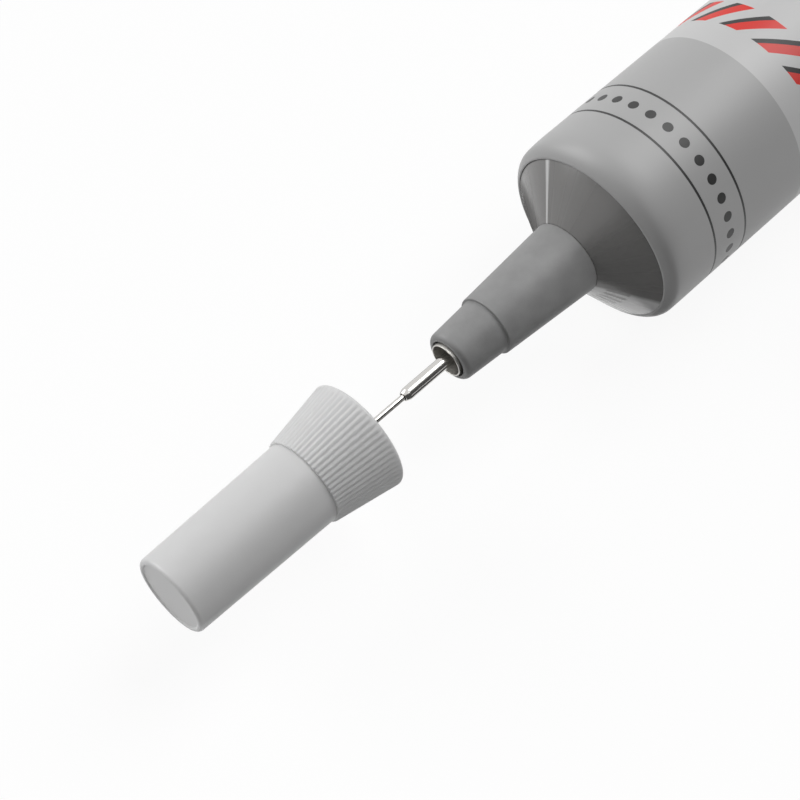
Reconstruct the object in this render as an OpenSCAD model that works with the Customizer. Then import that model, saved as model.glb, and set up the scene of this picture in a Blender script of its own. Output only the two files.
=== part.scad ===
// Glue tube with a needle nozzle, lying on its barrel and flat tail, its pin cap drawn most of the way off.
// The tube's axis runs along X, from the cap to the crimp. Stations are measured from the sleeve's front lip.

/* [Sleeve] */
// Outside diameter of the round barrel
barrel_d = 19; // [16:0.5:24]
// Length from the front lip to the end of the crimp
sleeve_len = 86; // [75:1:120]
// Length behind the lip that stays round
round_len = 36; // [24:1:42]
// Wall of the sleeve
sleeve_wall = 0.5; // [0.35:0.05:0.7]
// How far the front turns in from the barrel to the lip
lip_turn = 1.5; // [1.2:0.05:1.8]
// Length over which the front rounds
front_round = 1.1; // [0.9:0.1:2]
// Arc of that rounding, in degrees of its ellipse
front_arc = 50; // [30:5:80]
// Swell of the barrel just behind its rounded front
bead_swell = 0.04; // [0:0.02:0.16]
// Length over which the swell dies away
bead_len = 3; // [2:0.5:5]
// Length of the heat-sealed crimp
crimp_len = 6; // [4:0.5:10]

/* [Shoulder] */
// Length of the cone from the nozzle's base to the lip
cone_len = 3.1; // [2.5:0.1:5]
// Wall of the shoulder where the cone meets the neck
shoulder_wall = 0.9; // [0.7:0.05:1.3]
// Length of the band that is bonded inside the sleeve
band_len = 4; // [2:0.5:8]
// Wall of that band
band_wall = 0.9; // [0.6:0.1:1.4]
// How far the lip stands above the cone
lip_stand = 0.2; // [0.05:0.05:0.3]
// Length of the neck that carries the nozzle
neck_len = 6; // [4:0.5:8]
// Bore of the neck and of the nozzle behind the needle
feed_d = 2; // [1.6:0.1:2.4]

/* [Nozzle] */
// Length from the shoulder to the nozzle's face
nozzle_len = 15.3; // [14:0.1:20]
// Diameter at the shoulder
nozzle_base_d = 7.3; // [6.6:0.1:8.5]
// Diameter where the shank ends in a step
shank_end_d = 5.9; // [5.5:0.1:6.5]
// Diameter where the tip starts at that step
tip_base_d = 5.4; // [5:0.1:5.8]
// Diameter of the tip at the nozzle's face
tip_end_d = 4.8; // [4.4:0.1:5.2]
// Length of the tip in front of the step
tip_len = 5; // [3.5:0.1:6]
// Rounding of the tip's outer edge
tip_round = 0.5; // [0.2:0.05:0.6]
// Wall of the nozzle around the neck
nozzle_wall = 1; // [0.7:0.05:1.2]

/* [Needle] */
// Outside diameter of the needle
needle_d = 1.2; // [1.05:0.05:1.5]
// Length of the needle in front of the nozzle's face
needle_out = 5.1; // [3:0.1:8]
// Length of the needle held in the nozzle behind the ferrule
needle_held = 2.2; // [1.2:0.1:3]
// Width of the nozzle's rim outside the ferrule
mouth_wall = 0.76; // [0.6:0.02:0.9]
// Depth of the ferrule's cup
ferrule_depth = 2.2; // [1.4:0.1:3]
// Wall of the ferrule
ferrule_wall = 0.15; // [0.1:0.01:0.2]
// How far the ferrule sits behind the nozzle's face
ferrule_set = 0.2; // [0.05:0.05:0.5]

/* [Cap] */
// How far the cap is drawn off from its seat
cap_open = 24.7; // [5:0.1:26]
// Space left between the seated cap's rim and the nozzle's base
rim_gap = 0.9; // [0.3:0.1:2]
// Wall of the cap
cap_wall = 0.74; // [0.6:0.02:1]
// Slope of the cap's smooth body, in degrees
cap_draft = 0.9; // [0.4:0.1:1.2]
// Thickness of the closed end
end_wall = 0.9; // [0.8:0.1:1.4]
// Rounding of the closed end's edge
end_round = 0.45; // [0.3:0.05:0.7]
// Depth of the shallow dish in the closed end
dish_depth = 0.12; // [0.04:0.02:0.2]
// Length of the flared grip
grip_len = 6.5; // [4:0.1:9]
// Step from the smooth body up to the grip
grip_step = 0.22; // [0.2:0.02:0.4]
// Growth of the grip's radius from the step to the rim
grip_flare = 1.08; // [0.6:0.02:1.6]
// Number of ribs around the grip
rib_count = 60; // [36:2:72]
// Height of the ribs
rib_h = 0.12; // [0.06:0.02:0.18]
// Smooth band left between the ribs and the rim
rim_band = 0.5; // [0.3:0.1:1]
// How far that band stands above the ribs
band_stand = 0.04; // [0.02:0.01:0.1]

/* [Pin] */
// Diameter of the pin
pin_d = 0.55; // [0.4:0.05:0.65]
// Length of the pin that is still inside the needle
pin_engaged = 2.5; // [1.5:0.1:4]
// Height of the boss that holds the pin inside the cap
boss_h = 0.6; // [0.4:0.1:1.5]
// Diameter of that boss
boss_d = 2.4; // [1.6:0.1:3]

/* [Clearances] */
// Between the cap's bore and the nozzle when the cap is seated
cap_fit = 0.1; // [0.08:0.02:0.2]
// Between the pin and the needle's bore
pin_fit = 0.085; // [0.05:0.005:0.1]
// Between the seated cap's boss and the needle's tip
needle_gap = 0.4; // [0.2:0.1:1]
// Between pieces that are bonded, pressed or moulded together
bond = 0.02; // [0.01:0.01:0.04]
// Between the adhesive and the walls around it
fill_gap = 0.1; // [0.05:0.05:0.2]
// Between the pin and the adhesive that it parts
channel_gap = 0.3; // [0.2:0.1:0.6]

/* [Hidden] */
$fn = 96;
tail_fn = 64;

// Radii of the sleeve
barrel_r = barrel_d / 2;
bore_r = barrel_r - sleeve_wall;
lip_r = barrel_r - lip_turn;
bead_r = barrel_r + bead_swell;

// The flat tail keeps the barrel's girth, so the crimp is half a girth wide
crimp_w = PI * barrel_r;
crimp_t = 2 * sleeve_wall;
crimp_x = sleeve_len - crimp_len;
crimp_z = crimp_t / 2 - bead_r;
tail_lap = 0.5;
tail_inset = 0.05;
cavity_t = 0.1;
slice = 0.1;

// Stations from the lip, growing towards the crimp
base_x = -cone_len;
face_x = base_x - nozzle_len;
step_x = face_x + tip_len;
tip_x = face_x - needle_out;
seated_rim_x = base_x - rim_gap;
rim_x = seated_rim_x - cap_open;
boss_x = tip_x - needle_gap - cap_open;
end_x = boss_x - boss_h - end_wall;
ledge_x = rim_x - grip_len;
pin_tip_x = tip_x + pin_engaged;
seated_pin_x = pin_tip_x + cap_open;

// Radii of the nozzle and of what it holds
neck_x = base_x - neck_len;
shank_slope = (nozzle_base_d - shank_end_d) / 2 / (base_x - step_x);
function shank_r(x) = nozzle_base_d / 2 + shank_slope * (x - base_x);
neck_r = shank_r(neck_x) - nozzle_wall;
feed_r = feed_d / 2;
needle_r = needle_d / 2;
needle_bore_r = pin_d / 2 + pin_fit;
ferrule_r = tip_end_d / 2 - mouth_wall;
cup_x = face_x + ferrule_set;
floor_x = cup_x + ferrule_depth;
needle_end_x = floor_x + needle_held;
needle_stand = 0.4;
feed_x = needle_end_x - needle_stand;

// Radii of the cap: its bore follows the nozzle where the seated cap grips it
grip_bore_r = shank_r(ledge_x + cap_open) + cap_fit;
ledge_r = grip_bore_r + cap_wall;
end_r = ledge_r - (ledge_x - end_x) * tan(cap_draft);
grip_r = ledge_r + grip_step;
rim_r = grip_r + grip_flare;
band_r = rim_r - grip_flare * rim_band / grip_len;
rib_root_r = band_r - rib_h * band_r / grip_r;

// The shoulder's band and cone
shoulder_r = bore_r - bond;
band_x = front_round + band_len;
cone_slope = (cone_len + lip_stand) / (lip_r - bond - nozzle_base_d / 2);
function cone_inner_x(r) = base_x + shoulder_wall + cone_slope * (r - neck_r);

// Height of the axis over the surface that the tube lies on, and the middle of its length
axis_z = bead_r;
middle_x = (end_x + sleeve_len) / 2;

// Points of an arc of an ellipse, as [radius, station], from the first angle to the last
function bow(r, x, half_r, half_x, from, to, steps = 8) =
    [for (i = [0:steps]) let (a = from + (to - from) * i / steps) [r + half_r * cos(a), x + half_x * sin(a)]];

// Points of the rounded front, from the lip at one station out to a radius at the next
function front_bow(r_lip, x_lip, r, x) =
    let (half_r = (r - r_lip) / (1 - cos(front_arc)), half_x = (x - x_lip) / sin(front_arc))
    bow(r - half_r, x, half_r, half_x, -front_arc, 0);

// Points of a smooth blend between two radii
function ease(r_a, x_a, r_b, x_b, steps = 6) =
    [for (i = [1:steps]) let (u = i / steps, v = u * u * (3 - 2 * u))
        [r_a + (r_b - r_a) * v, x_a + (x_b - x_a) * u]];

// Puts a shape made at the stations into the frame of the whole object
module placed() {
    translate([-middle_x, 0, axis_z]) children();
}

// Turns an outline of [radius, station] points about the tube's axis
module turned(points) {
    rotate([0, 90, 0]) rotate_extrude() polygon(points);
}

// The form between a round end and a flat end of the same girth, which is level with the crimp
module flattened(r, from, to, flat_w, flat_t) {
    hull() {
        translate([from, 0, 0]) rotate([0, 90, 0]) cylinder(h = round_len - from, r = r, $fn = tail_fn);
        translate([to - slice, -flat_w / 2, crimp_z - flat_t / 2]) cube([slice, flat_w, flat_t]);
    }
}

module sleeve() {
    inner_bow = front_bow(lip_r, sleeve_wall, bore_r, front_round);
    front = concat(
        front_bow(lip_r, 0, bead_r, front_round),
        ease(bead_r, front_round, barrel_r, front_round + bead_len),
        [[barrel_r, round_len], [bore_r, round_len]],
        [for (i = [len(inner_bow) - 1:-1:0]) inner_bow[i]]
    );
    color("#b8b8b8") placed() {
        turned(front);
        difference() {
            flattened(barrel_r - tail_inset, round_len - tail_lap, crimp_x,
                crimp_w - 2 * tail_inset, crimp_t - 2 * tail_inset);
            flattened(bore_r + tail_inset, round_len - 2 * tail_lap, crimp_x - crimp_t,
                crimp_w - crimp_t, cavity_t);
        }
        translate([crimp_x - tail_lap, -crimp_w / 2, crimp_z - crimp_t / 2])
            cube([crimp_len + tail_lap, crimp_w, crimp_t]);
    }
}

module shoulder() {
    inner_end_r = shoulder_r - band_wall;
    outline = concat(
        [[feed_r, neck_x], [neck_r, neck_x], [neck_r, base_x], [nozzle_base_d / 2, base_x]],
        [[lip_r - bond, lip_stand]],
        front_bow(lip_r - bond, sleeve_wall + bond, shoulder_r, front_round + bond),
        [[shoulder_r, band_x], [inner_end_r, band_x]],
        [[inner_end_r, cone_inner_x(inner_end_r)], [feed_r, cone_inner_x(feed_r)]]
    );
    color("#7a7a7a") placed() turned(outline);
}

module nozzle() {
    socket_x = neck_x - bond;
    held_r = needle_r + bond;
    mouth_r = ferrule_r + bond;
    outline = concat(
        [[neck_r + bond, base_x], [nozzle_base_d / 2, base_x]],
        [[shank_end_d / 2, step_x], [tip_base_d / 2, step_x]],
        bow(tip_end_d / 2 - tip_round, face_x + tip_round, tip_round, tip_round, 0, -90),
        [[mouth_r, face_x], [mouth_r, floor_x + bond], [held_r, floor_x + bond]],
        [[held_r, feed_x], [feed_r, feed_x + feed_r - held_r], [feed_r, socket_x], [neck_r + bond, socket_x]]
    );
    color("#919191") placed() turned(outline);
}

module needle_ferrule() {
    inner_r = ferrule_r - ferrule_wall;
    outline = [
        [inner_r, cup_x], [ferrule_r, cup_x], [ferrule_r, floor_x], [needle_r + bond, floor_x],
        [needle_r + bond, floor_x - ferrule_wall], [inner_r, floor_x - ferrule_wall]
    ];
    color("#d0d0d0") placed() turned(outline);
}

module needle() {
    edge = (needle_r - needle_bore_r) / 3;
    outline = [
        [needle_bore_r, tip_x], [needle_r - edge, tip_x], [needle_r, tip_x + edge],
        [needle_r, needle_end_x], [needle_bore_r, needle_end_x]
    ];
    color("#cfcfcf") placed() turned(outline);
}

module adhesive() {
    front_r = shoulder_r - band_wall - fill_gap;
    body_r = bore_r - fill_gap;
    channel_r = pin_d / 2 + channel_gap;
    channel_x = max(seated_pin_x, cone_inner_x(channel_r) + fill_gap) + channel_gap;
    outline = [
        [channel_r, cone_inner_x(channel_r) + 2 * fill_gap], [front_r, cone_inner_x(front_r) + 2 * fill_gap],
        [front_r, band_x + fill_gap], [body_r, band_x + fill_gap], [body_r, round_len],
        [0, round_len], [0, channel_x], [channel_r, channel_x]
    ];
    color("#d9d6cc") placed() {
        turned(outline);
        flattened(body_r - fill_gap, round_len - tail_lap, crimp_x - 2 * crimp_t,
            crimp_w - 2 * crimp_t - 2 * fill_gap, cavity_t / 2);
    }
}

module cap() {
    bore_end_r = end_r - cap_wall;
    inner_x = end_x + end_wall;
    dish_r = end_r - end_round;
    rib_lap = band_stand / 2;
    held_r = pin_d / 2 + bond;
    pin_start_x = inner_x - end_wall / 2;
    outside = concat(
        [[0, end_x + dish_depth], [dish_r - dish_depth, end_x + dish_depth]],
        bow(dish_r, end_x + end_round, end_round, end_round, -90, 0),
        [[ledge_r, ledge_x], [rib_root_r - rib_lap, rim_x - rim_band]],
        [[band_r + band_stand, rim_x - rim_band], [rim_r + band_stand, rim_x]]
    );
    inside = [
        [rim_r - cap_wall, rim_x], [grip_bore_r, ledge_x], [bore_end_r, inner_x], [boss_d / 2, inner_x],
        [boss_d / 2, boss_x], [held_r, boss_x], [held_r, pin_start_x], [0, pin_start_x]
    ];
    rib_len = grip_len - rim_band + rib_lap;
    points_per_rib = 6;
    rib_points = [
        for (i = [0:rib_count * points_per_rib - 1])
            let (turn = 360 * i / (rib_count * points_per_rib), crest = (1 + cos(turn * rib_count)) / 2)
            (grip_r - rib_h * (1 - crest)) * [cos(turn), sin(turn)]
    ];
    color("#cdcdcd") placed() {
        turned(concat(outside, inside));
        difference() {
            translate([ledge_x, 0, 0]) rotate([0, 90, 0])
                linear_extrude(height = rib_len, scale = (grip_r + grip_flare * rib_len / grip_len) / grip_r)
                    polygon(rib_points);
            turned([
                [0, ledge_x - rim_band], [grip_bore_r + cap_wall / 2, ledge_x - rim_band],
                [grip_bore_r + cap_wall / 2, ledge_x], [rim_r - cap_wall / 2, rim_x], [0, rim_x]
            ]);
        }
    }
}

module cap_pin() {
    start_x = end_x + end_wall / 2 + bond;
    point = pin_d / 4;
    outline = [
        [0, start_x], [pin_d / 2, start_x], [pin_d / 2, pin_tip_x - point],
        [pin_d / 2 - point, pin_tip_x], [0, pin_tip_x]
    ];
    color("#c6c6c6") placed() turned(outline);
}

sleeve();
shoulder();
nozzle();
needle_ferrule();
needle();
adhesive();
cap();
cap_pin();
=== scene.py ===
# %% [markdown]
# # A glue tube with a needle nozzle and a pin cap
# The real tube is a soft printed sleeve, a glossy moulded shoulder, a matt nozzle, a steel needle in a
# small steel cup, and a cap with a wire pin that keeps the needle clear. The solids give the places and the
# main sizes, so this lesson loads them first and builds each visible piece around them.

# %% Load the frame
import collections
import functools
import math

import bpy
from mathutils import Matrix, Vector


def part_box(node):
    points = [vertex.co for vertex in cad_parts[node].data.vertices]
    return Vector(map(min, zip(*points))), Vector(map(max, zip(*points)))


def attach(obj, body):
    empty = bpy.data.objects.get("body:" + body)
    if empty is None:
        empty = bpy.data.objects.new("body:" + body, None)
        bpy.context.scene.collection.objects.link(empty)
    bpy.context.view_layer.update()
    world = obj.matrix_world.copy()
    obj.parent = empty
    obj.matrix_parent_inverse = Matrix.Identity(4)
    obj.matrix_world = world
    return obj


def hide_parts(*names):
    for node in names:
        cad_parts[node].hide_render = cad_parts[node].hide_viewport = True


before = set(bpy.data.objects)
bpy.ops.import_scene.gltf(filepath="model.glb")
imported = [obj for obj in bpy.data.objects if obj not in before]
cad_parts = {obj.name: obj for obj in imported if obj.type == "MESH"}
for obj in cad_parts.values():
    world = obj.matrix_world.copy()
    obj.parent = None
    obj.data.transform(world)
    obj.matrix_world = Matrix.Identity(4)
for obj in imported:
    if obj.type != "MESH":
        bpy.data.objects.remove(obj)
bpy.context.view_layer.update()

# %% [markdown]
# Nearly every piece is round about one axis, so places are given as on a lathe drawing: a station along the
# axis, in millimetres behind the sleeve's front lip, and a radius. Stations in front of the lip are
# negative.

# %% Stations and radii
MM = 0.001
lip_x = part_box("sleeve")[0].x
axis_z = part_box("cap")[1].z - (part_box("cap")[1].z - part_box("cap")[0].z) / 2


def place(station, radius):
    """The point of the frame at that station and radius, straight above the axis."""
    return Vector((lip_x + station * MM, 0, axis_z + radius * MM))


def span(node):
    """First station, last station and largest radius of a solid, in millimetres."""
    low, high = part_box(node)
    return (low.x - lip_x) / MM, (high.x - lip_x) / MM, (high.z - axis_z) / MM


for name in sorted(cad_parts):
    print(name, [round(v, 2) for v in span(name)])

# %% [markdown]
# The photograph looks down at the tube from in front and to one side, through a long lens. The camera
# stands where the outlines of cap, nozzle and sleeve meet the picture, and has no shift and no depth of
# field.

# %% Camera
CAMERA_STATION, CAMERA_SIDE, CAMERA_HEIGHT = -92.64, -68.48, 158.79
LOOK = Vector((0.36942, 0.36796, -0.85331))
FOCAL_PIXELS, FRAME_PIXELS, SENSOR_WIDTH, NEAREST = 2200, 800, 36, 10

camera_at = place(CAMERA_STATION, CAMERA_HEIGHT) + Vector((0, CAMERA_SIDE * MM, 0))
bpy.ops.object.camera_add(location=camera_at)
camera = bpy.context.object
camera.rotation_euler = LOOK.to_track_quat("-Z", "Y").to_euler()
camera.data.sensor_width = SENSOR_WIDTH
camera.data.lens = SENSOR_WIDTH * FOCAL_PIXELS / FRAME_PIXELS
camera.data.clip_start = NEAREST * MM
bpy.context.scene.camera = camera
print("camera at", [round(c / MM, 1) for c in camera.location], "mm, lens", camera.data.lens, "mm")

# %% [markdown]
# A turned piece starts as one point. The point is extruded along the outline, sharp corners of the outline
# are rounded by a bevel of its points, and a spin about the tube's axis makes the solid. This is quicker
# than cutting loops into a cylinder, and every radius of the drawing stays exact. First come the steps that
# several pieces share.


# %% Selecting by place
def select_points(piece, wanted):
    """Selects only the points of a piece whose place is wanted, and stays in edit mode."""
    bpy.ops.object.mode_set(mode="OBJECT")
    for elements in (piece.data.polygons, piece.data.edges, piece.data.vertices):
        elements.foreach_set("select", [False] * len(elements))
    for point in piece.data.vertices:
        point.select = wanted(point.co)
    bpy.ops.object.mode_set(mode="EDIT")
    bpy.ops.mesh.select_mode(type="VERT")


# %% Shared steps
NEAR = 0.002 * MM  # points closer than this are one
FIT = 0.02  # millimetres between pieces that are bonded or pressed together
EDGE_ANGLE, SOFT_EDGE_ANGLE = math.radians(30), math.radians(35)


def name_piece(name):
    """Names the piece that was just added and returns it."""
    piece = bpy.context.object
    piece.name = piece.data.name = name
    return piece


def join_points():
    """Merges points of the edited piece that lie on each other."""
    bpy.ops.mesh.select_all(action="SELECT")
    bpy.ops.mesh.remove_doubles(threshold=NEAR)


def face_outwards():
    """Turns all faces of the edited piece outwards."""
    bpy.ops.mesh.select_all(action="SELECT")
    bpy.ops.mesh.normals_make_consistent(inside=False)


def shade_smooth(edge_angle):
    """Leaves edit mode and shades the piece smooth, apart from edges that bend by more than the angle."""
    bpy.ops.object.mode_set(mode="OBJECT")
    bpy.ops.object.shade_smooth_by_angle(angle=edge_angle)


# %% Turning a piece
ROUND_SEGMENTS = 5


def turned_piece(name, outline, steps):
    """Spins an outline about the axis. A point is a station, a radius and, if it is rounded, a size."""
    corners = [place(*point[:2]) for point in outline]
    closed = min(point[1] for point in outline) > 0
    bpy.ops.object.select_all(action="DESELECT")
    bpy.ops.mesh.primitive_plane_add(size=MM, location=corners[0])
    piece = name_piece(name)
    bpy.ops.object.transform_apply(location=True)
    bpy.ops.object.mode_set(mode="EDIT")
    bpy.ops.mesh.select_all(action="SELECT")
    bpy.ops.mesh.merge(type="CENTER")
    for here, there in zip(corners, corners[1:] + corners[:1] if closed else corners[1:]):
        bpy.ops.mesh.extrude_vertices_move(TRANSFORM_OT_translate={"value": there - here})
    join_points()
    for corner, point in zip(corners, outline):
        for size in point[2:]:
            select_points(piece, lambda co: (co - corner).length < NEAR)
            bpy.ops.mesh.bevel(offset=size * MM, segments=ROUND_SEGMENTS, affect="VERTICES")
    bpy.ops.mesh.select_all(action="SELECT")
    bpy.ops.mesh.spin(steps=steps, angle=2 * math.pi, center=(0, 0, axis_z), axis=(1, 0, 0))
    join_points()
    face_outwards()
    shade_smooth(EDGE_ANGLE)
    print(name, len(piece.data.polygons), "faces")
    return piece


# %% [markdown]
# The cap is one moulding in satin plastic: a smooth, slightly tapered body with a rounded closed end and a
# shallow dish, then a ledge and a flared grip. Inside is a tapered bore and a small boss that holds the
# pin.

# %% Cap
cap_end, cap_rim, cap_rim_r = span("cap")
GRIP_LEN, RIB_FADE, CAP_WALL, END_WALL = 6.5, 0.7, 0.74, 0.9
DISH, END_BORDER, BOSS_LEN, BOSS_R = 0.12, 0.45, 0.6, 1.2
LEDGE_R, GRIP_R, END_R = 3.987, 4.207, 3.753
DISH_EDGE, END_EDGE, LEDGE_EDGE = 0.08, 0.405, 0.1
RIM_EDGE, INNER_EDGE, BOSS_EDGE = 0.25, 0.12, 0.1
RIB_COUNT, RIB_HEIGHT, RIB_COLUMNS = 60, 0.1, 6
ledge = cap_rim - GRIP_LEN
fade = cap_rim - RIB_FADE
fade_r = cap_rim_r - (cap_rim_r - GRIP_R) * RIB_FADE / GRIP_LEN
dish, dish_r = cap_end + DISH, END_R - END_BORDER
inside, boss = cap_end + END_WALL, cap_end + END_WALL + BOSS_LEN
pin_hole, pin_hole_r = cap_end + END_WALL / 2, span("cap_pin")[2] + FIT

cap = turned_piece("cap_moulding", [
    (dish, 0), (dish, dish_r - DISH), (cap_end, dish_r, DISH_EDGE), (cap_end, END_R, END_EDGE),
    (ledge, LEDGE_R), (ledge, GRIP_R, LEDGE_EDGE), (fade, fade_r), (cap_rim, cap_rim_r, RIM_EDGE),
    (cap_rim, cap_rim_r - CAP_WALL, INNER_EDGE), (ledge, LEDGE_R - CAP_WALL), (inside, END_R - CAP_WALL),
    (inside, BOSS_R), (boss, BOSS_R, BOSS_EDGE), (boss, pin_hole_r), (pin_hole, pin_hole_r), (pin_hole, 0),
], steps=RIB_COUNT * RIB_COLUMNS)

# %% [markdown]
# Fine ribs run along the grip from the ledge and die away just before the rim. The spin left six columns of
# points for each rib, so the columns between the crests are drawn in towards the axis, which shapes all
# ribs at once. The points at the rim stay where they are, and so the grooves run out there.

# %% Ribs of the grip
GROOVE_SHARPNESS, LEDGE_MARGIN = 1.6, 0.03


def from_axis(co):
    """A point's distance from the axis."""
    return math.hypot(co.y, co.z - axis_z)


def rib_column(co):
    """Which column of its rib a point lies in, counted from the crest."""
    turns = math.atan2(co.y, co.z - axis_z) / (2 * math.pi)
    return round(turns * RIB_COUNT * RIB_COLUMNS) % RIB_COLUMNS


for number in range(1, RIB_COLUMNS):
    depth = ((1 - math.cos(2 * math.pi * number / RIB_COLUMNS)) / 2) ** GROOVE_SHARPNESS
    keep = 1 - RIB_HEIGHT * depth / GRIP_R
    select_points(cap, lambda co: place(ledge, 0).x - NEAR < co.x < place(fade, 0).x + NEAR
                  and from_axis(co) > (LEDGE_R + LEDGE_MARGIN) * MM and rib_column(co) == number)
    bpy.ops.transform.resize(value=(1, keep, keep), center_override=(0, 0, axis_z))
bpy.ops.object.mode_set(mode="OBJECT")
print("ribs:", RIB_COUNT, "of", RIB_HEIGHT, "mm")

# %% [markdown]
# The pin is a drawn steel wire. Its end is tapered, so that it finds its way into the needle.

# %% Pin
PIN_EDGE = 0.06
pin_start, pin_tip, pin_r = span("cap_pin")
pin = turned_piece("cap_pin_wire", [
    (pin_start, 0), (pin_start, pin_r), (pin_tip - pin_r / 2, pin_r, PIN_EDGE),
    (pin_tip, pin_r / 2, PIN_EDGE), (pin_tip, 0),
], steps=32)

# %% [markdown]
# The needle is a length of steel tube with a slightly swaged tip. It is pressed into a thin steel cup,
# whose rim shows as a bright ring around a dark recess.

# %% Needle
NEEDLE_BORE_R, SWAGE_LEN, SWAGE_R, TIP_EDGE, SWAGE_EDGE = 0.36, 0.45, 0.44, 0.03, 0.1
needle_tip, needle_end, needle_r = span("needle")
needle = turned_piece("needle_tube", [
    (needle_tip, NEEDLE_BORE_R), (needle_tip, SWAGE_R, TIP_EDGE),
    (needle_tip + SWAGE_LEN, needle_r, SWAGE_EDGE), (needle_end, needle_r), (needle_end, NEEDLE_BORE_R),
], steps=48)

# %% Cup of the needle
CUP_WALL, CUP_SET, CUP_EDGE, CUP_CORNER = 0.12, 0.05, 0.02, 0.3
nozzle_face, nozzle_base, nozzle_base_r = span("nozzle")
_, cup_floor, cup_r = span("needle_ferrule")
cup_mouth, cup_inner_r, cup_hole_r = nozzle_face + CUP_SET, cup_r - CUP_WALL, needle_r + FIT
cup = turned_piece("needle_cup", [
    (cup_mouth, cup_inner_r, CUP_EDGE), (cup_mouth, cup_r, CUP_EDGE), (cup_floor, cup_r),
    (cup_floor, cup_hole_r), (cup_floor - CUP_WALL, cup_hole_r),
    (cup_floor - CUP_WALL, cup_inner_r, CUP_CORNER),
], steps=72)

# %% [markdown]
# The nozzle is a matt moulding in two tapers with a step between them. Its tip is generously rounded. Its
# mouth is bored out for the cup, whose rim stands a little proud of it with a dark gap around. The nozzle
# is pushed onto the shoulder's neck.

# %% Nozzle
STEP_BACK, STEP_R, TIP_BASE_R, TIP_R = 5.0, 2.95, 2.7, 2.4
NECK_R, FEED_R, FEED_TAPER = 2.242, 1.0, 0.4
FACE_SET, MOUTH_GAP, MOUTH_DEPTH = 0.3, 0.22, 0.6
BASE_EDGE, STEP_EDGE, STEP_CORNER, TIP_ROUND, MOUTH_EDGE = 0.12, 0.08, 0.06, 0.5, 0.06
neck_end, shoulder_end, shoulder_r = span("shoulder")
step, tip_face = nozzle_face + STEP_BACK, nozzle_face + FACE_SET
mouth_floor, mouth_r = tip_face + MOUTH_DEPTH, cup_r + MOUTH_GAP
nozzle = turned_piece("nozzle_moulding", [
    (nozzle_base, NECK_R + FIT), (nozzle_base, nozzle_base_r, BASE_EDGE), (step, STEP_R, STEP_EDGE),
    (step, TIP_BASE_R, STEP_CORNER), (tip_face, TIP_R, TIP_ROUND), (tip_face, mouth_r, MOUTH_EDGE),
    (mouth_floor, mouth_r), (mouth_floor, cup_r + FIT), (cup_floor + FIT, cup_r + FIT),
    (cup_floor + FIT, needle_r + FIT), (needle_end - FEED_TAPER, needle_r + FIT), (needle_end, FEED_R),
    (neck_end - FIT, FEED_R), (neck_end - FIT, NECK_R + FIT),
], steps=128)

# %% [markdown]
# Shoulder and sleeve are not quite round at the front. The sleeve's lip is pressed in at the top, where it
# turns over the cone in a long soft bow, and it stands further out and further back at the sides and below,
# where the corner is tight. Both are therefore extruded from ring to ring instead of turned. A ring may be
# wide, low, off the axis or slanted with its top forward.

# %% Rings
Ring = collections.namedtuple("Ring", "station half_w half_h aside height slant")


def round_ring(station, radius):
    """A round ring about the axis."""
    return Ring(station, radius, radius, 0, axis_z / MM, 0)


def ring_middle(ring):
    """The middle of a ring as a point of the frame."""
    return Vector((lip_x + ring.station * MM, ring.aside * MM, ring.height * MM))


def shape_ring(start, ring):
    """Gives the selected ring, which has the start's shape, the size and slant of another."""
    grow_w, grow_h = ring.half_w / start.half_w, ring.half_h / start.half_h
    middle, lean = ring_middle(ring), ring.slant - start.slant / grow_h
    bpy.ops.transform.resize(value=(1, grow_w, grow_h), center_override=middle)
    bpy.ops.transform.rotate(value=lean, orient_axis="Y", center_override=middle)


# %% Extruding from ring to ring
def extrude_rings(start, rings):
    """Extrudes the selected ring to each ring of the list in turn."""
    for ring in rings:
        move = ring_middle(ring) - ring_middle(start)
        bpy.ops.mesh.extrude_region_move(TRANSFORM_OT_translate={"value": move})
        shape_ring(start, ring)
        start = ring


def ringed_piece(name, rings, columns):
    """Starts a piece as a circle of points with the first ring's shape, and extrudes it to the others."""
    first = rings[0]
    bpy.ops.object.select_all(action="DESELECT")
    bpy.ops.mesh.primitive_circle_add(vertices=columns, radius=MM, location=ring_middle(first),
                                      rotation=(0, math.pi / 2, 0))
    piece = name_piece(name)
    bpy.ops.object.transform_apply(location=True, rotation=True)
    bpy.ops.object.mode_set(mode="EDIT")
    bpy.ops.mesh.select_all(action="SELECT")
    shape_ring(first._replace(half_w=1, half_h=1, slant=0), first)
    extrude_rings(first, rings[1:])
    return piece


# %% [markdown]
# The front's rings follow two curves: the soft bow at the top, and the tight corner, an arc of an ellipse,
# at the sides and below. A wall's inset moves the same rings inwards, so the sleeve's inner face and the
# shoulder under it fit each other everywhere.

# %% Rings of the front
BARREL_R, SLEEVE_WALL, LIP_EDGE, EDGE_GROWS = 9.5, 0.5, 0.13, 0.5
LIP_R, LIP_LOW, LIP_ASIDE = 8.0, 0.55, 0.2
SOFT_LEN, SOFTNESS = 4.1, 4.5
CORNER_LEN, CORNER_ARC = 1.1, math.radians(50)
FRONT_STATIONS = [0, 0.04, 0.1, 0.18, 0.28, 0.4, 0.55, 0.75, 1, 1.3, 1.7, 2.2, 2.8, 3.4, SOFT_LEN]


def soft_bow(station):
    """How far the bow at the top lies inside the barrel's radius."""
    return (BARREL_R - LIP_R) * (1 - station / SOFT_LEN) ** SOFTNESS


def tight_corner(station):
    """The same for the corner at the sides and below."""
    reach = max(0, 1 - station / CORNER_LEN) * math.sin(CORNER_ARC)
    return (BARREL_R - LIP_R) * (1 - math.sqrt(1 - reach ** 2)) / (1 - math.cos(CORNER_ARC))


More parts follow.
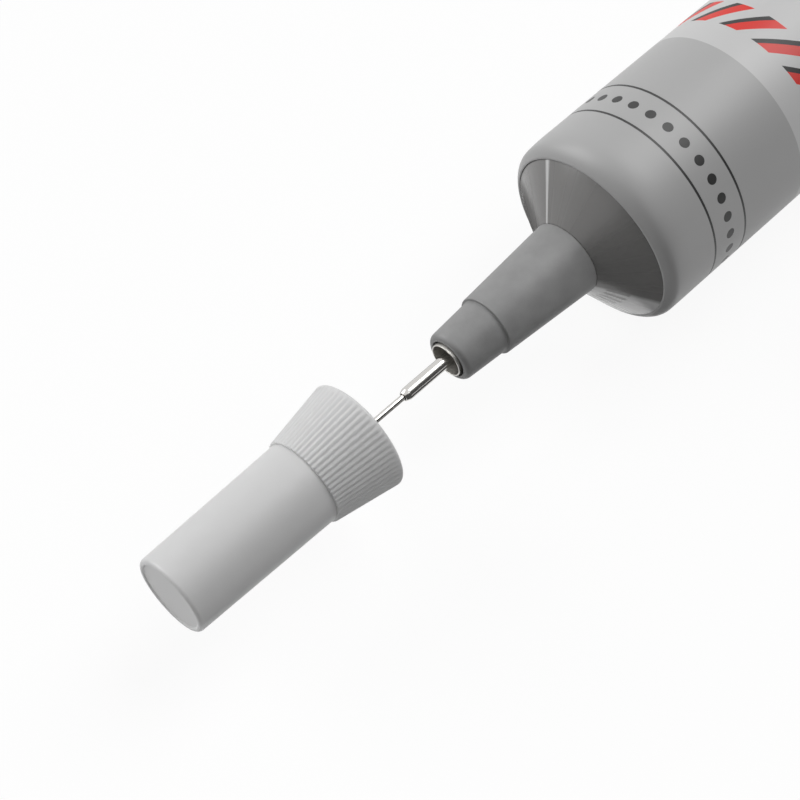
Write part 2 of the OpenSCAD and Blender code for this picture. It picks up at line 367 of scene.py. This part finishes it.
def front_ring(station, inset=0.0, top_back=0.0, low_back=0.0):
    """A ring of the front by its station at the top. An inset shrinks it, and its lip can be set back."""
    low = LIP_LOW + station * (1 - LIP_LOW / SOFT_LEN)
    fading = 1 - station / SOFT_LEN
    top_at, low_at = station + top_back * fading, low + low_back * fading
    top_r = BARREL_R - soft_bow(station) - inset
    low_r = BARREL_R - tight_corner(low) - inset
    half_w = BARREL_R - tight_corner((station + low) / 2) - inset
    half_h = (top_r + low_r) / 2
    aside = LIP_ASIDE * soft_bow(station) / soft_bow(0)
    height = axis_z / MM - (low_r - top_r) / 2
    return Ring((top_at + low_at) / 2, half_w, half_h, aside, height, (low_at - top_at) / 2 / half_h)


def wall(station):
    """The sleeve's wall, which is thin at the lip's trimmed edge."""
    return LIP_EDGE + (SLEEVE_WALL - LIP_EDGE) * min(1, station / EDGE_GROWS)


for station in (0, 1, SOFT_LEN):
    print("front ring", [round(v, 2) for v in front_ring(station)])

# %% [markdown]
# The shoulder is moulded in one with the neck: a steep, glossy cone that turns under the sleeve's lip into
# a band, which is bonded inside the sleeve. A fine ridge on the cone is the parting line of its mould.

# %% Rings of the shoulder
LIP_STAND, LOW_STAND, BAND_WALL, SHOULDER_WALL = 0.16, -0.12, 0.9, 0.9
CONE_SHARES = (0.04, 0.3, 0.6, 1)
cone_slope = (LIP_STAND - nozzle_base) / (LIP_R - FIT - nozzle_base_r)
inner_r = shoulder_r - BAND_WALL


def cone_inside(radius):
    """Station of the cone's inner face at a radius."""
    return nozzle_base + SHOULDER_WALL + cone_slope * (radius - NECK_R)


def between(one, other, share):
    """The ring that lies that share of the way from one ring to another."""
    return Ring(*(a + (b - a) * share for a, b in zip(one, other)))


cone_base = round_ring(nozzle_base, nozzle_base_r)
under_lip = [front_ring(s, wall(s) + FIT, LIP_STAND, LOW_STAND) for s in FRONT_STATIONS]
cone_rings = [between(cone_base, under_lip[0], share) for share in CONE_SHARES]
shoulder_rings = [
    round_ring(neck_end, FEED_R), round_ring(neck_end, NECK_R), round_ring(nozzle_base, NECK_R), cone_base,
    *cone_rings, *under_lip[1:], round_ring(shoulder_end, shoulder_r), round_ring(shoulder_end, inner_r),
    round_ring(cone_inside(inner_r), inner_r), round_ring(cone_inside(FEED_R), FEED_R),
    round_ring(neck_end, FEED_R),
]
print("shoulder rings:", len(shoulder_rings))

# %% Shoulder
SHOULDER_COLUMNS, PARTING_TURN, PARTING_STAND = 160, math.radians(40.5), 0.05
PLANE_MARGIN, EDGE_MARGIN = 0.03, 0.01


def on_ring(co, ring):
    """Whether a point lies in the slanted plane of a ring and near its edge."""
    off = co - ring_middle(ring)
    edge = math.hypot(off.y / ring.half_w, off.z / ring.half_h) / MM
    return abs(off.x + ring.slant * off.z) < PLANE_MARGIN * MM and abs(edge - 1) < EDGE_MARGIN


def at_parting(co, ring):
    """Whether a point lies on a ring and on the parting line."""
    off = co - ring_middle(ring)
    turn = math.atan2(off.y / ring.half_w, off.z / ring.half_h)
    return on_ring(co, ring) and abs(turn - PARTING_TURN) < math.pi / SHOULDER_COLUMNS


shoulder = ringed_piece("shoulder_moulding", shoulder_rings, SHOULDER_COLUMNS)
join_points()
face_outwards()
select_points(shoulder, lambda co: any(at_parting(co, ring) for ring in cone_rings))
bpy.ops.transform.translate(value=(-PARTING_STAND * MM, 0, 0))
shade_smooth(EDGE_ANGLE)
ridge_points = sum(point.select for point in shoulder.data.vertices)
print("shoulder faces:", len(shoulder.data.polygons), "ridge points:", ridge_points)

# %% [markdown]
# The sleeve starts at the lip and is extruded over the rounded front, along the barrel and down the tail,
# where each ring gets wider and lower until it is the flat crimp. Its inner face starts once more from the
# lip.

# %% Shape of the tail
ROUND_LEN, CRIMP_LEN, CRIMP_HALF, EASE, THIN_FROM = 36.0, 6.0, 0.5, 5.0, 1.2
crimp = span("sleeve")[1] - CRIMP_LEN
crimp_half_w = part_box("sleeve")[1].y / MM
floor_gap = axis_z / MM - BARREL_R


def tail_share(station):
    """How far the tail is flattened at a station, from 0 to 1, with a soft start."""
    past = station - ROUND_LEN
    length = crimp - ROUND_LEN
    if past < -EASE:
        return 0.0
    if past < EASE:
        return (past + EASE) ** 2 / (4 * EASE * length)
    return past / length


def tail_ring(station, inset=0.0):
    """A ring of the barrel or tail, with a wall's inset, which gets less where the tail is thin."""
    share = tail_share(station)
    half_w = BARREL_R + (crimp_half_w - BARREL_R) * share - inset
    half_h = BARREL_R + (CRIMP_HALF - BARREL_R) * share
    inset_h = inset * min(1.0, half_h / THIN_FROM)
    return Ring(station, half_w, half_h - inset_h, 0, floor_gap * (1 - share) + half_h, 0)


print("crimp from station", round(crimp, 1), "on,", round(2 * crimp_half_w, 1), "mm wide")

# %% Rings of the sleeve
CRIMP_RIDGE, RIDGE_DEPTH, PLAIN_RINGS = 0.3, 0.07, 2
OUTSIDE_FROM, OUTSIDE_STEP = 6, 2
INSIDE_FROM, INSIDE_STEP, INSIDE_SHORT = 8, 4, 1
ridges = int(CRIMP_LEN / CRIMP_RIDGE)
crimp_rings = []
for number in range(ridges):
    pressed = number % 2 == 1 and PLAIN_RINGS <= number < ridges - PLAIN_RINGS
    half_h = CRIMP_HALF - RIDGE_DEPTH if pressed else CRIMP_HALF
    crimp_rings.append(Ring(crimp + CRIMP_RIDGE * (number + 1), crimp_half_w, half_h, 0, CRIMP_HALF, 0))
outer_rings = [front_ring(s) for s in FRONT_STATIONS]
outer_rings += [tail_ring(s) for s in (*range(OUTSIDE_FROM, round(crimp), OUTSIDE_STEP), crimp)]
inner_rings = [front_ring(s, wall(s)) for s in FRONT_STATIONS]
inside_stations = range(INSIDE_FROM, int(crimp) - INSIDE_SHORT, INSIDE_STEP)
inner_rings += [tail_ring(s, SLEEVE_WALL) for s in inside_stations]
print("sleeve rings outside, in the crimp, inside:", len(outer_rings), len(crimp_rings), len(inner_rings))

# %% Sleeve
SLEEVE_COLUMNS = 128
sleeve = ringed_piece("sleeve_tube", outer_rings + crimp_rings, SLEEVE_COLUMNS)
bpy.ops.mesh.edge_face_add()
bpy.ops.mesh.select_all(action="DESELECT")
bpy.ops.mesh.select_non_manifold(use_wire=False, use_multi_face=False, use_non_contiguous=False,
                                 use_verts=False)
extrude_rings(outer_rings[0], inner_rings)
bpy.ops.mesh.edge_face_add()
face_outwards()
bpy.ops.object.mode_set(mode="OBJECT")
print("sleeve points:", len(sleeve.data.vertices))

# %% [markdown]
# A heat-sealed crimp is flat on both faces, with fine cross ridges from the jaws. Its rings are still thin
# ovals, so the upper and lower half of each ring is pressed flat. In front of it the sleeve is folded at
# both edges, where it is never thinner than its two walls, so the edges of the last rings are lifted to
# that thickness.

# %% Flattening the crimp
FOLD_FROM, FOLD_MARGIN = 4.0, 0.01
for ring in [ring for ring in outer_rings + crimp_rings if ring.half_h < FOLD_FROM]:
    for side in (1, -1):
        face = (ring.height + side * min(ring.half_h, CRIMP_HALF)) * MM
        select_points(sleeve, lambda co: on_ring(co, ring)
                      and FOLD_MARGIN * MM < side * (co.z - ring.height * MM) < CRIMP_HALF * MM + NEAR)
        bpy.ops.transform.resize(value=(1, 1, 0), center_override=(0, 0, face))
shade_smooth(SOFT_EDGE_ANGLE)
print("crimp rings:", ridges, "sleeve faces:", len(sleeve.data.polygons))

# %% [markdown]
# The glue fills the sleeve. It is hidden, but it is a piece of the object, so it gets a body of its own
# that follows the inside of shoulder and sleeve with a small gap. A narrow channel in its front leaves room
# for the pin.

# %% Glue fill
FILL_GAP, FILL_SHORT, FILL_COLUMNS = 0.1, 3, 64
CHANNEL_R, CHANNEL_END = 0.575, 4.0
fill_r = inner_r - FILL_GAP
fill_rings = [
    round_ring(CHANNEL_END, CHANNEL_R), round_ring(cone_inside(CHANNEL_R) + 2 * FILL_GAP, CHANNEL_R),
    round_ring(cone_inside(fill_r) + 2 * FILL_GAP, fill_r), round_ring(shoulder_end + FILL_GAP, fill_r),
    round_ring(shoulder_end + FILL_GAP, BARREL_R - SLEEVE_WALL - FILL_GAP),
]
fill_stations = range(INSIDE_FROM, int(crimp) - FILL_SHORT, INSIDE_STEP)
fill_rings += [tail_ring(s, SLEEVE_WALL + FILL_GAP) for s in fill_stations]
glue = ringed_piece("glue_fill", fill_rings, FILL_COLUMNS)
bpy.ops.mesh.edge_face_add()
select_points(glue, lambda co: abs(co.x - place(CHANNEL_END, 0).x) < NEAR
              and from_axis(co) < CHANNEL_R * MM + NEAR)
bpy.ops.mesh.edge_face_add()
face_outwards()
shade_smooth(SOFT_EDGE_ANGLE)
print("glue faces:", len(glue.data.polygons))

# %% [markdown]
# Materials come next. Colours are written as they look on a screen, in sRGB, and turned to the linear
# values that the shader works with. Patterns are sized in millimetres: a noise of scale 1000 / s has
# features s mm wide.


# %% Colour and node helpers
def linear(colour):
    """An sRGB hex colour as linear red, green, blue and alpha."""
    parts = [int(colour[i:i + 2], 16) / 255 for i in (1, 3, 5)]
    return [c / 12.92 if c <= 0.04045 else ((c + 0.055) / 1.055) ** 2.4 for c in parts] + [1.0]


def add_node(owner, kind, inputs=None, **settings):
    """Adds a node to a material or the world, and fills its inputs with values or other nodes' outputs."""
    made = owner.node_tree.nodes.new(kind)
    for key, value in settings.items():
        setattr(made, key, value)
    for key, value in (inputs or {}).items():
        if isinstance(value, bpy.types.NodeSocket):
            owner.node_tree.links.new(value, made.inputs[key])
        else:
            made.inputs[key].default_value = value
    return made


def new_material(name, **shader_inputs):
    """A material with values for its shader, and its Object coordinates."""
    material = bpy.data.materials.new(name)
    material.use_nodes = True
    shader = material.node_tree.nodes["Principled BSDF"]
    for key, value in shader_inputs.items():
        shader.inputs[key.replace("_", " ")].default_value = value
    return material, add_node(material, "ShaderNodeTexCoord").outputs["Object"]


def wire(material, **outputs):
    """Joins outputs to the shader inputs that they are named for."""
    shader = material.node_tree.nodes["Principled BSDF"]
    for key, output in outputs.items():
        material.node_tree.links.new(output, shader.inputs[key.replace("_", " ")])
    print(material.name, "has a pattern for", ", ".join(outputs))


# %% Pattern helpers
def maths(owner, operation, *values):
    """The output of a node that works out something from values."""
    return add_node(owner, "ShaderNodeMath", dict(enumerate(values)), operation=operation).outputs[0]


def noise(owner, coords, size, detail):
    """A noise whose features are that many millimetres wide."""
    inputs = {"Vector": coords, "Scale": 1 / (size * MM), "Detail": detail}
    return add_node(owner, "ShaderNodeTexNoise", inputs).outputs["Fac"]


def ranged(owner, value, low, high):
    """A value from 0 to 1 brought to a range."""
    inputs = {"Value": value, "To Min": low, "To Max": high}
    return add_node(owner, "ShaderNodeMapRange", inputs).outputs["Result"]


def blend(owner, factor, one, other):
    """A colour between two colours."""
    inputs = {"Factor": factor, "A": one, "B": other}
    return add_node(owner, "ShaderNodeMix", inputs, data_type="RGBA").outputs["Result"]


def bump(owner, height, strength, depth, **more):
    """The normals of a surface with bumps of a depth in millimetres."""
    inputs = {"Height": height, "Strength": strength, "Distance": depth * MM, **more}
    return add_node(owner, "ShaderNodeBump", inputs).outputs["Normal"]


def around_axis(owner, coords):
    """A point's separate coordinates, its height above the axis and its angle around it."""
    apart = add_node(owner, "ShaderNodeSeparateXYZ", {"Vector": coords}).outputs
    height = maths(owner, "SUBTRACT", apart["Z"], axis_z)
    return apart, height, maths(owner, "ARCTAN2", apart["Y"], height)


# %% [markdown]
# The cap is satin polyethylene from a lightly blasted mould: pale grey, with a soft sheen and a fine, even
# grain. The grain of about 0.05 mm would not show, so it is drawn at 0.2 mm.

# %% Satin polyethylene of the cap
cap_plastic, coords = new_material(
    "satin_moulded_polyethylene", Base_Color=linear("#d2d2d2"), IOR=1.51, Subsurface_Weight=0.5,
    Subsurface_Radius=(1, 1, 1), Subsurface_Scale=1.2 * MM)
grain = noise(cap_plastic, coords, size=0.2, detail=3)
flow = noise(cap_plastic, coords, size=4, detail=2)
wire(cap_plastic, Roughness=ranged(cap_plastic, flow, low=0.36, high=0.46),
     Normal=bump(cap_plastic, grain, strength=0.25, depth=0.01))

# %% [markdown]
# The nozzle is polypropylene from a spark-eroded mould, so it is a darker grey and plainly matt, with a
# grain of about 0.15 mm and slight scuffs.

# %% Matt polypropylene of the nozzle
nozzle_plastic, coords = new_material("matt_moulded_polypropylene", IOR=1.49)
grain = noise(nozzle_plastic, coords, size=0.15, detail=4)
cloud = noise(nozzle_plastic, coords, size=1.6, detail=5)
wire(nozzle_plastic, Base_Color=blend(nozzle_plastic, cloud, linear("#7f7f7f"), linear("#999999")),
     Roughness=ranged(nozzle_plastic, cloud, low=0.42, high=0.58),
     Normal=bump(nozzle_plastic, grain, strength=0.35, depth=0.012))

# %% [markdown]
# The shoulder is polyethylene from a smooth mould, and it is glossier than the nozzle. Soft flow lines
# about 2 mm wide run out from the neck, and a pale band along the parting ridge is a painted highlight. The
# underside carries a painted reflection of the white paper, broken by a band of fine dark lines, which are
# 0.4 mm apart there and are drawn at 0.85 mm, because they would blur.

# %% Flow lines, painted ridge highlight and painted floor reflection of the shoulder
CONE_MIDDLE_R, FLOW_WIDTH = 6.0, 2.0
LINES_R, LINES_HALF, LINES_BLUR, LINE_PITCH = 5.4, 0.9, 0.2, 0.85
# Place and half width of the painted highlight along the parting ridge.
RIDGE_HIGHLIGHT_TURN, RIDGE_HIGHLIGHT_HALF = math.radians(45), math.radians(1.7)
# Place, half width and soft edge of the painted reflection of the paper on the underside.
REFLECTION_TURN, REFLECTION_HALF, REFLECTION_BLUR = math.radians(-137), math.radians(32), math.radians(5)
shoulder_plastic, coords = new_material("glossy_moulded_polyethylene", IOR=1.51)
cone_math = functools.partial(maths, shoulder_plastic)


def soft_band(value, middle, half, blur):
    """A mask that is 1 within half of the middle and fades out across a blur at both edges."""
    off = cone_math("ABSOLUTE", cone_math("SUBTRACT", value, middle))
    edges = {"Value": off, "From Min": half + blur / 2, "From Max": half - blur / 2}
    return add_node(shoulder_plastic, "ShaderNodeMapRange", edges).outputs["Result"]


apart, height, turn = around_axis(shoulder_plastic, coords)
arm = add_node(shoulder_plastic, "ShaderNodeCombineXYZ", {"Y": apart["Y"], "Z": height}).outputs[0]
radius = add_node(shoulder_plastic, "ShaderNodeVectorMath", {0: arm}, operation="LENGTH").outputs["Value"]
streaks = {"W": turn, "Scale": CONE_MIDDLE_R / FLOW_WIDTH}
flow = add_node(shoulder_plastic, "ShaderNodeTexNoise", streaks, noise_dimensions="1D").outputs["Fac"]
ridge_highlight = soft_band(turn, RIDGE_HIGHLIGHT_TURN, RIDGE_HIGHLIGHT_HALF, RIDGE_HIGHLIGHT_HALF)
floor_reflection_side = soft_band(turn, REFLECTION_TURN, REFLECTION_HALF, REFLECTION_BLUR)
print("lines on the underside every", LINE_PITCH, "mm")

# %% Glossy polyethylene of the shoulder
wave = cone_math("SINE", cone_math("MULTIPLY", turn, 2 * math.pi * LINES_R / LINE_PITCH))
band = soft_band(radius, LINES_R * MM, LINES_HALF * MM, LINES_BLUR * MM)
lines = cone_math("MULTIPLY", cone_math("GREATER_THAN", wave, 0.0), band)
# The pale underside is a painted reflection of the white paper, left out along the fine dark lines.
painted_floor_reflection = cone_math("MULTIPLY", floor_reflection_side, cone_math("SUBTRACT", 1.0, lines))
# The pale band along the parting ridge is a painted highlight.
painted_highlight_and_reflection = cone_math("MAXIMUM", painted_floor_reflection, ridge_highlight)
wire(shoulder_plastic, Base_Color=blend(shoulder_plastic, painted_highlight_and_reflection, linear("#7e7d7c"), linear("#d2d2d2")),
     Roughness=ranged(shoulder_plastic, flow, low=0.22, high=0.32),
     Normal=bump(shoulder_plastic, flow, strength=0.12, depth=0.3))

# %% [markdown]
# Needle and pin are drawn stainless steel: bright, with faint lines along their length. The cup is pressed
# from thin sheet and a little duller.

# %% Steel of needle, pin and cup
STRETCH = (0.03, 1, 1)
drawn_steel, coords = new_material("drawn_stainless_steel", Base_Color=linear("#cfcdca"), Metallic=1.0)
along = add_node(drawn_steel, "ShaderNodeMapping", {"Vector": coords, "Scale": STRETCH}).outputs["Vector"]
lines = noise(drawn_steel, along, size=0.06, detail=2)
wire(drawn_steel, Roughness=ranged(drawn_steel, lines, low=0.1, high=0.26))

pressed_steel, coords = new_material("pressed_stainless_sheet", Base_Color=linear("#c6c4c0"), Metallic=1.0)
grain = noise(pressed_steel, coords, size=0.2, detail=3)
wire(pressed_steel, Roughness=ranged(pressed_steel, grain, low=0.32, high=0.46))

# %% [markdown]
# The glue itself is a thick clear rubber cement.

# %% Clear glue
clear_glue, coords = new_material("clear_rubber_cement", Base_Color=linear("#efe9d8"), IOR=1.47,
                                  Transmission_Weight=0.7)
cloud = noise(clear_glue, coords, size=3, detail=2)
wire(clear_glue, Roughness=ranged(clear_glue, cloud, low=0.08, high=0.16))

# %% [markdown]
# The sleeve is extruded polyethylene with a satin skin, printed in a few flat inks: a paler field around
# its middle, fine dark rings and a row of dots near the front, and a slanted row of red and black bars. The
# print is laid out by the station along the tube and the angle around it, so it wraps the barrel as ink
# does.

# %% Layout of the print
sleeve_plastic, coords = new_material("satin_printed_polyethylene", IOR=1.51)
sleeve_math = functools.partial(maths, sleeve_plastic)
apart, _, turn = around_axis(sleeve_plastic, coords)
station = sleeve_math("MULTIPLY_ADD", apart["X"], 1 / MM, -lip_x / MM)
around = sleeve_math("MULTIPLY", turn, BARREL_R)


def ink(value, middle, half):
    """A mask that is 1 where a value lies within half of its middle."""
    return sleeve_math("COMPARE", value, middle, half)


FIELD_START, FIELD_END = 17.6, 62.0
RING_STATIONS, RING_HALF = (5.8, 9.8), 0.12
field = ink(station, (FIELD_START + FIELD_END) / 2, (FIELD_END - FIELD_START) / 2)
rings = [ink(station, middle, RING_HALF) for middle in RING_STATIONS]
print("printed field from", FIELD_START, "to", FIELD_END, "mm, rings at", RING_STATIONS)

# %% Dots and bars
DOTS, DOT_ROW, DOT_R = 30, 7.8, 0.5
pitch = 2 * math.pi * BARREL_R / DOTS
across = sleeve_math("FLOORED_MODULO", around, pitch)
spot = add_node(sleeve_plastic, "ShaderNodeCombineXYZ", {"X": station, "Y": across}).outputs[0]
ends = {0: spot, 1: (DOT_ROW, pitch / 2, 0)}
off = add_node(sleeve_plastic, "ShaderNodeVectorMath", ends, operation="DISTANCE").outputs["Value"]
dots = sleeve_math("LESS_THAN", off, DOT_R)

BARS, BAR_ROW, BAR_HALF = 16, 22.0, 1.6
RED_MIDDLE, RED_HALF, BLACK_MIDDLE, BLACK_HALF = 0.7, 0.7, 1.75, 0.35
spacing = 2 * math.pi * BARREL_R / BARS
along = sleeve_math("FLOORED_MODULO", sleeve_math("ADD", around, station), spacing)
bars = ink(station, BAR_ROW, BAR_HALF)
red_bars = sleeve_math("MULTIPLY", bars, ink(along, RED_MIDDLE, RED_HALF))
black_bars = sleeve_math("MULTIPLY", bars, ink(along, BLACK_MIDDLE, BLACK_HALF))
print("dots:", DOTS, "bars of each colour:", BARS)

# %% Printed polyethylene of the sleeve
tint = blend(sleeve_plastic, field, linear("#aaaaaa"), linear("#c4c4c4"))
inks = [(mark, "#2b2b2b") for mark in (*rings, dots)] + [(red_bars, "#d2322a"), (black_bars, "#262626")]
for mask, colour in inks:
    tint = blend(sleeve_plastic, mask, tint, linear(colour))
skin = noise(sleeve_plastic, coords, size=0.3, detail=3)
waves = noise(sleeve_plastic, coords, size=7, detail=1)
soft = bump(sleeve_plastic, waves, strength=0.5, depth=0.15)
wire(sleeve_plastic, Base_Color=tint, Roughness=ranged(sleeve_plastic, skin, low=0.4, high=0.5),
     Normal=bump(sleeve_plastic, skin, strength=0.2, depth=0.01, Normal=soft))

# %% [markdown]
# Every piece takes its material, rides on its body, and stands for its solid.

# %% Putting the pieces on their bodies
for piece, material, body, node, slot in (
    (sleeve, sleeve_plastic, "tube", "sleeve", "sleeve_plastic"),
    (shoulder, shoulder_plastic, "tube", "shoulder", "shoulder_plastic"),
    (nozzle, nozzle_plastic, "tube", "nozzle", "nozzle_plastic"),
    (cup, pressed_steel, "tube", "needle_ferrule", "steel"),
    (needle, drawn_steel, "tube", "needle", "steel"),
    (glue, clear_glue, "tube", "adhesive", "glue"),
    (cap, cap_plastic, "cap", "cap", "cap_plastic"),
    (pin, drawn_steel, "cap", "cap_pin", "steel"),
):
    piece.data.materials.clear()
    piece.data.materials.append(material)
    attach(piece, body)
    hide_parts(node)
    print(piece.name, "rides on", body)

# %% [markdown]
# The tube lies on a sheet of white paper. The camera sees the sheet as an even white that still takes the
# tube's shadow: most of it is a plain glow, and the rest is lit paper. Reflections see the glow alone, and
# light that bounces off the paper comes from a greyer sheet without it, so the tube's underside stays dark.

# %% Floor
FLOOR_SIZE, CAMERA_GLOW = 3, 0.92
bpy.ops.object.select_all(action="DESELECT")
bpy.ops.mesh.primitive_plane_add(size=FLOOR_SIZE)
floor = name_piece("floor")
paper, _ = new_material("white_studio_paper", Roughness=0.9)
rays = add_node(paper, "ShaderNodeLightPath").outputs
seen = maths(paper, "MAXIMUM", rays["Is Camera Ray"], rays["Is Transmission Ray"])
share = maths(paper, "MULTIPLY_ADD", seen, CAMERA_GLOW, rays["Is Glossy Ray"])
lit = paper.node_tree.nodes["Principled BSDF"].outputs[0]
glow = add_node(paper, "ShaderNodeEmission", {"Color": linear("#ffffff"), "Strength": 1.0}).outputs[0]
mixed = add_node(paper, "ShaderNodeMixShader", {0: share, 1: lit, 2: glow}).outputs[0]
paper.node_tree.links.new(mixed, paper.node_tree.nodes["Material Output"].inputs["Surface"])
wire(paper, Base_Color=blend(paper, seen, linear("#cccccc"), linear("#fafafa")))
floor.data.materials.append(paper)
print("share of glow that the camera sees:", CAMERA_GLOW)

# %% [markdown]
# In front of the tube, beside the camera, a bent dark wall paints a dark room into reflections. A dark
# sheet in front of the cone and a strip at the cone's other side paint the shadow on the paper into them.
# They only show in reflections, where their painted shade darkens the steel and the right side of the
# glossy cone.

# %% Wall of painted shade
WALL_RADIUS, WALL_HEIGHT, WALL_STEPS = 0.5, 1.1, 24
WALL_TURN, WALL_START = math.radians(190), math.radians(40)
bpy.ops.object.select_all(action="DESELECT")
bpy.ops.mesh.primitive_plane_add(size=WALL_HEIGHT, rotation=(0, math.pi / 2, 0),
                                 location=(-WALL_RADIUS, 0, WALL_HEIGHT / 2))
painted_shade_wall = name_piece("painted_shade_wall")
bpy.ops.object.transform_apply(location=True, rotation=True)
select_points(painted_shade_wall, lambda co: co.y > 0)
bpy.ops.mesh.delete(type="VERT")
bpy.ops.mesh.select_all(action="SELECT")
bpy.ops.mesh.spin(steps=WALL_STEPS, angle=-WALL_TURN, center=(0, 0, 0), axis=(0, 0, 1))
bpy.ops.mesh.select_all(action="SELECT")
bpy.ops.transform.rotate(value=WALL_START, orient_axis="Z", center_override=(0, 0, 0))
bpy.ops.object.mode_set(mode="OBJECT")
print("felt wall of", len(painted_shade_wall.data.polygons), "faces")

# %% Sheets of painted shadow
SHADOW_SHEET_LIFT = 0.1
SHEET_STATIONS, SHEET_SIDES = (-500, 1), (-500, -7.5)
STRIP_STATIONS, STRIP_SIDES = (-30, 3), (9, 16)


def painted_shadow_sheet(name, stations, sides):
    """A flat sheet on the paper that paints shadow into reflections, between two stations and two distances
    beside the axis.
    """
    middle = (lip_x + sum(stations) / 2 * MM, sum(sides) / 2 * MM, SHADOW_SHEET_LIFT * MM)
    bpy.ops.mesh.primitive_plane_add(size=MM, location=middle)
    sheet = name_piece(name)
    sheet.scale = (stations[1] - stations[0], sides[1] - sides[0], 1)
    bpy.ops.object.transform_apply(location=True, scale=True)
    return sheet


# A dark grey seen only in reflections, as painted shade and painted shadow.
painted_shade, _ = new_material("painted_shade_in_reflections", Base_Color=linear("#505050"), Roughness=1.0)
front_shadow = painted_shadow_sheet("painted_shadow_sheet", SHEET_STATIONS, SHEET_SIDES)
side_shadow = painted_shadow_sheet("painted_shadow_strip", STRIP_STATIONS, STRIP_SIDES)
# They are hidden from the camera, from bounce light and from shadows, so they only paint shade into
# reflections.
for part in (painted_shade_wall, front_shadow, side_shadow):
    part.data.materials.append(painted_shade)
    part.visible_camera = part.visible_diffuse = part.visible_shadow = False
    print(part.name, "is", [round(c, 3) for c in part.dimensions], "metres large")

# %% [markdown]
# A large soft key lamp stands low at the left of the picture, a second lamp behind the tube lights its top,
# and a weak fill from the right opens the shadows. The white surroundings show to the camera and in
# reflections, and give hardly any light.

# %% Lamps
LAMP_ANGLE = math.radians(40)
for lamp, come_from, energy in (
    ("key", (-0.4, 0.8, 0.45), 1.85),
    ("back", (0.6, 0.0, 0.8), 1.85),
    ("fill", (0.0, -0.66, 0.75), 0.45),
):
    bpy.ops.object.light_add(type="SUN", rotation=Vector(come_from).to_track_quat("Z", "Y").to_euler())
    bpy.context.object.name = lamp
    bpy.context.object.data.energy = energy
    bpy.context.object.data.angle = LAMP_ANGLE
    print(lamp, "lamp of strength", energy)

# %% World
WORLD_LIGHT, WORLD_SEEN = 0.02, 1.0
world = bpy.data.worlds.new("white_studio")
bpy.context.scene.world = world
world.use_nodes = True
rays = add_node(world, "ShaderNodeLightPath").outputs
seen = maths(world, "MAXIMUM", rays["Is Camera Ray"], rays["Is Glossy Ray"])
seen = maths(world, "MAXIMUM", seen, rays["Is Transmission Ray"])
background = world.node_tree.nodes["Background"]
background.inputs["Color"].default_value = linear("#ffffff")
world.node_tree.links.new(ranged(world, seen, WORLD_LIGHT, WORLD_SEEN), background.inputs["Strength"])
bpy.context.scene.view_settings.view_transform = "Standard"
print("world:", world.name)
